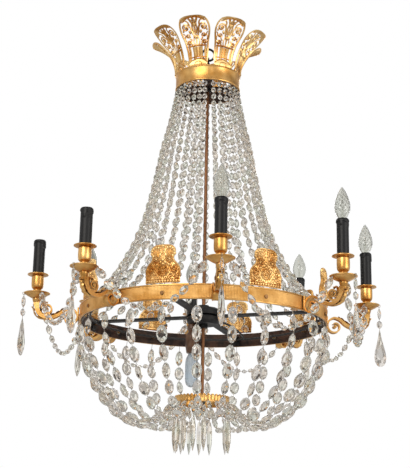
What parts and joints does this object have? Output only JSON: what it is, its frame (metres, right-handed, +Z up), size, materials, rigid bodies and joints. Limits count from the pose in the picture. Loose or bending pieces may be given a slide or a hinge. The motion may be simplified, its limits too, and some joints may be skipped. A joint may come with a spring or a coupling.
{
  "type": "crystal chandelier",
  "caption": "Basket chandelier: a gilt ring with scroll candle arms hung under a leaf crown, with strings, swags and drops of cut glass.",
  "frame": {"origin": "the bearing point inside the top of the hanging ring, where it rests on a ceiling hook", "axes": "+Z up along the rod; the first arm points along -Y, towards the viewer; +X to the viewer's right"},
  "size_m": [0.8445, 0.8464, 1.0046],
  "materials": {
    "gilt": "satin gilding",
    "iron": "black patina",
    "brown_iron": "brown patina",
    "copper_rod": "aged",
    "brown_bakelite": "semi-gloss",
    "frosted_glass": "frosted",
    "bulb_glass": "clear",
    "crystal": "cut and polished",
    "black_candle": "matte",
    "black_holder": "matte",
    "cable": "matte"
  },
  "bodies": {
    "suspension": {"hanging_ring": "iron"},
    "frame": {"arm_1": "gilt", "arm_2": "gilt", "arm_3": "gilt", "arm_4": "gilt", "arm_5": "gilt", "arm_6": "gilt", "arm_7": "gilt", "arm_8": "gilt", "arm_nuts": "iron", "bare_candle_sleeves": "black_candle", "bare_lampholders": "black_holder", "basket_strings": "crystal", "candle_cups": "gilt", "candle_nipples": "iron", "candle_sleeves": "black_candle", "central_rod": "copper_rod", "crown_band": "gilt", "crown_cross": "iron", "crown_liner": "brown_iron", "crown_nut": "iron", "crown_palmettes": "gilt", "drip_pans": "gilt", "eye_coupling": "iron", "hook_eye": "iron", "hub_nut": "iron", "icicles": "crystal", "junction_base": "iron", "junction_box": "iron", "lampholders": "black_holder", "low_cross": "gilt", "low_nut": "gilt", "low_ring": "gilt", "lower_lampholder": "brown_bakelite", "ornament_screws": "gilt", "palmette_screws": "iron", "ring_band": "gilt", "ring_cross": "brown_iron", "ring_liner": "brown_iron", "ring_ornaments": "gilt", "swags": "crystal", "tent_strings": "crystal", "wiring_loom": "cable"},
    "bulb_1_body": {"bulb_1": "bulb_glass"},
    "bulb_2_body": {"bulb_2": "bulb_glass"},
    "bulb_3_body": {"bulb_3": "bulb_glass"},
    "bulb_4_body": {"bulb_4": "bulb_glass"},
    "bulb_5_body": {"bulb_5": "bulb_glass"},
    "bulb_6_body": {"bulb_6": "bulb_glass"},
    "inner_bulb_body": {"inner_bulb": "frosted_glass"},
    "pear_drop_1_body": {"pear_drop_1": "crystal"},
    "pear_drop_2_body": {"pear_drop_2": "crystal"},
    "pear_drop_3_body": {"pear_drop_3": "crystal"},
    "pear_drop_4_body": {"pear_drop_4": "crystal"},
    "pear_drop_5_body": {"pear_drop_5": "crystal"},
    "pear_drop_6_body": {"pear_drop_6": "crystal"},
    "pear_drop_7_body": {"pear_drop_7": "crystal"},
    "pear_drop_8_body": {"pear_drop_8": "crystal"}
  },
  "joints": [
    {"name": "swing", "type": "hinge", "parent": "suspension", "child": "frame", "pos_m": [0, 0, -0.02825], "axis": [1, 0, 0], "range_deg": [-20, 20]},
    {"name": "pear_drop_1_swing", "type": "hinge", "parent": "frame", "child": "pear_drop_1_body", "pos_m": [0, -0.41125, -0.628], "axis": [-1, 0, 0], "range_deg": [-12, 55]},
    {"name": "pear_drop_2_swing", "type": "hinge", "parent": "frame", "child": "pear_drop_2_body", "pos_m": [0.2908, -0.2908, -0.628], "axis": [-0.7071, -0.7071, 0], "range_deg": [-12, 55]},
    {"name": "pear_drop_3_swing", "type": "hinge", "parent": "frame", "child": "pear_drop_3_body", "pos_m": [0.41125, 0, -0.628], "axis": [0, -1, 0], "range_deg": [-12, 55]},
    {"name": "pear_drop_4_swing", "type": "hinge", "parent": "frame", "child": "pear_drop_4_body", "pos_m": [0.2908, 0.2908, -0.628], "axis": [0.7071, -0.7071, 0], "range_deg": [-12, 55]},
    {"name": "pear_drop_5_swing", "type": "hinge", "parent": "frame", "child": "pear_drop_5_body", "pos_m": [0, 0.41125, -0.628], "axis": [1, 0, 0], "range_deg": [-12, 55]},
    {"name": "pear_drop_6_swing", "type": "hinge", "parent": "frame", "child": "pear_drop_6_body", "pos_m": [-0.2908, 0.2908, -0.628], "axis": [0.7071, 0.7071, 0], "range_deg": [-12, 55]},
    {"name": "pear_drop_7_swing", "type": "hinge", "parent": "frame", "child": "pear_drop_7_body", "pos_m": [-0.41125, 0, -0.628], "axis": [0, 1, 0], "range_deg": [-12, 55]},
    {"name": "pear_drop_8_swing", "type": "hinge", "parent": "frame", "child": "pear_drop_8_body", "pos_m": [-0.2908, -0.2908, -0.628], "axis": [-0.7071, 0.7071, 0], "range_deg": [-12, 55]},
    {"name": "bulb_1_unscrew", "type": "hinge", "parent": "frame", "child": "bulb_1_body", "pos_m": [0, -0.382, -0.53], "axis": [0, 0, 1], "range_deg": [0, 1080]},
    {"name": "bulb_2_unscrew", "type": "hinge", "parent": "frame", "child": "bulb_2_body", "pos_m": [0.27011, -0.27011, -0.53], "axis": [0, 0, 1], "range_deg": [0, 1080]},
    {"name": "bulb_3_unscrew", "type": "hinge", "parent": "frame", "child": "bulb_3_body", "pos_m": [0.382, 0, -0.53], "axis": [0, 0, 1], "range_deg": [0, 1080]},
    {"name": "bulb_4_unscrew", "type": "hinge", "parent": "frame", "child": "bulb_4_body", "pos_m": [0.27011, 0.27011, -0.53], "axis": [0, 0, 1], "range_deg": [0, 1080]},
    {"name": "bulb_5_unscrew", "type": "hinge", "parent": "frame", "child": "bulb_5_body", "pos_m": [0, 0.382, -0.53], "axis": [0, 0, 1], "range_deg": [0, 1080]},
    {"name": "bulb_6_unscrew", "type": "hinge", "parent": "frame", "child": "bulb_6_body", "pos_m": [-0.27011, 0.27011, -0.53], "axis": [0, 0, 1], "range_deg": [0, 1080]},
    {"name": "inner_bulb_unscrew", "type": "hinge", "parent": "frame", "child": "inner_bulb_body", "pos_m": [-0.025, 0, -0.76], "axis": [0, 0, -1], "range_deg": [0, 1080]}
  ]
}
